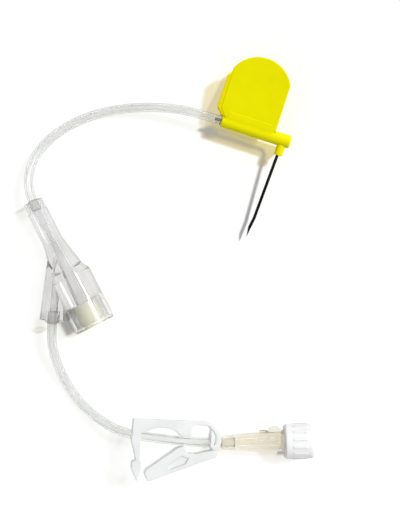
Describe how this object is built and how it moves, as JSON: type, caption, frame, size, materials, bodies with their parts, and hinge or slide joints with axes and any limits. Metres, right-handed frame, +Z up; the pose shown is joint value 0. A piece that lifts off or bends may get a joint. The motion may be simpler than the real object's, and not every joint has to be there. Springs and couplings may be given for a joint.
{
  "type": "huber needle",
  "caption": "Winged right-angle port needle with extension tubing, Y injection site, pinch clamp and capped taper connector.",
  "frame": {"origin": "middle of the footprint of the hard pieces, on the table that the set lies on", "axes": "+Z up from the table, +Y from the capped connector towards the needle and its wings, +X to the side that the cap points to"},
  "size_m": [0.0662, 0.0953, 0.0098],
  "materials": {
    "yellow_hub": "smooth moulded",
    "yellow_wing": "satin, flexible",
    "cannula_steel": "drawn tube",
    "clear_adhesive": "cured bead",
    "clear_tubing": "clear, flexible",
    "clear_moulding": "clear, polished",
    "cream_rubber": "matt",
    "white_clamp": "natural, slightly translucent",
    "tan_moulding": "translucent, smooth",
    "white_cap": "moulded"
  },
  "bodies": {
    "set": {"needle_barrel": "yellow_hub", "needle_cannula": "cannula_steel", "cannula_bond": "clear_adhesive", "upper_tubing": "clear_tubing", "y_body": "clear_moulding", "port_ring": "clear_moulding", "port_septum": "cream_rubber", "lower_tubing": "clear_tubing", "taper_connector": "tan_moulding"},
    "upper_wing": {"upper_wing": "yellow_wing"},
    "lower_wing": {"lower_wing": "yellow_wing"},
    "clamp": {"clamp_frame": "white_clamp"},
    "clamp_lever": {"clamp_arm": "white_clamp"},
    "cap": {"connector_cap": "white_cap"}
  },
  "joints": [
    {"name": "upper_wing_fold", "type": "hinge", "parent": "set", "child": "upper_wing", "pos_m": [0.01765, 0.03314, 0.00623], "axis": [0.9521, -0.3057, 0], "range_deg": [-5, 80]},
    {"name": "lower_wing_fold", "type": "hinge", "parent": "set", "child": "lower_wing", "pos_m": [0.01687, 0.03368, 0.00415], "axis": [-0.9521, 0.3057, 0], "range_deg": [-23, 65]},
    {"name": "clamp_slide", "type": "slide", "parent": "set", "child": "clamp", "axis": [0.9892, -0.1127, -0.0941], "range_m": [-0.002, 0], "deforming": ["lower_tubing"]},
    {"name": "clamp_close", "type": "hinge", "parent": "clamp", "child": "clamp_lever", "pos_m": [0.00965, -0.04191, 0.00423], "axis": [-0.1048, -0.0933, -0.9901], "range_deg": [-5, 13], "deforming": ["lower_tubing"]},
    {"name": "cap_pull", "type": "slide", "parent": "set", "child": "cap", "axis": [0.9998, 0.0209, 0], "range_m": [0, 0.01]}
  ]
}
